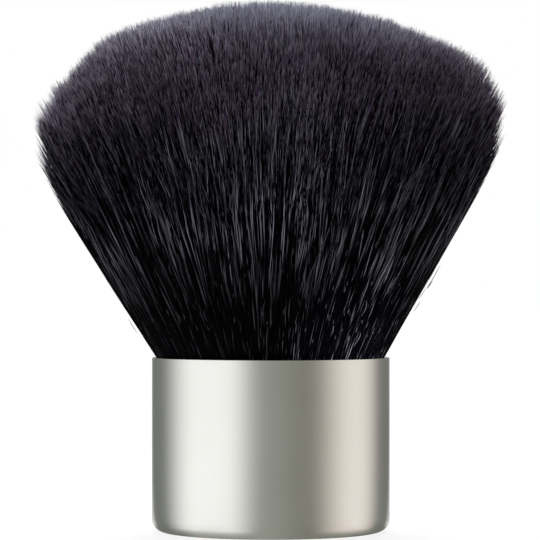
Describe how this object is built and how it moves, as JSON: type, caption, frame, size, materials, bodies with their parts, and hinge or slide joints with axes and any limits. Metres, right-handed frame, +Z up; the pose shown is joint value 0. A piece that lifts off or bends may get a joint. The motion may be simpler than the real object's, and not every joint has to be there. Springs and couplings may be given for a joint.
{
  "type": "foundation brush",
  "caption": "Short foundation brush: a wide dome of dense soft dark fibres fans out of a plain round satin metal handle, whose flat base it stands on.",
  "frame": {"origin": "centre of the flat base of the handle, which the brush stands on", "axes": "+Z runs up the brush's axis, from the base to the top of the bristle dome"},
  "size_m": [0.0623, 0.062, 0.0711],
  "materials": {
    "satin_metal": "satin, pearly pale champagne, anodised",
    "plated_steel": "turned and zinc plated",
    "moulded_plastic": "as moulded",
    "cast_resin": "cast amber epoxy",
    "waxed_thread": "waxed",
    "black_fibre": "fine soft fibres, near black with paler grey tips"
  },
  "bodies": {
    "root": {"handle_shell": "satin_metal", "weight_disc": "plated_steel", "inner_cup": "moulded_plastic", "resin_plug": "cast_resin", "root_binding": "waxed_thread", "bristle_head": "black_fibre"}
  },
  "joints": []
}
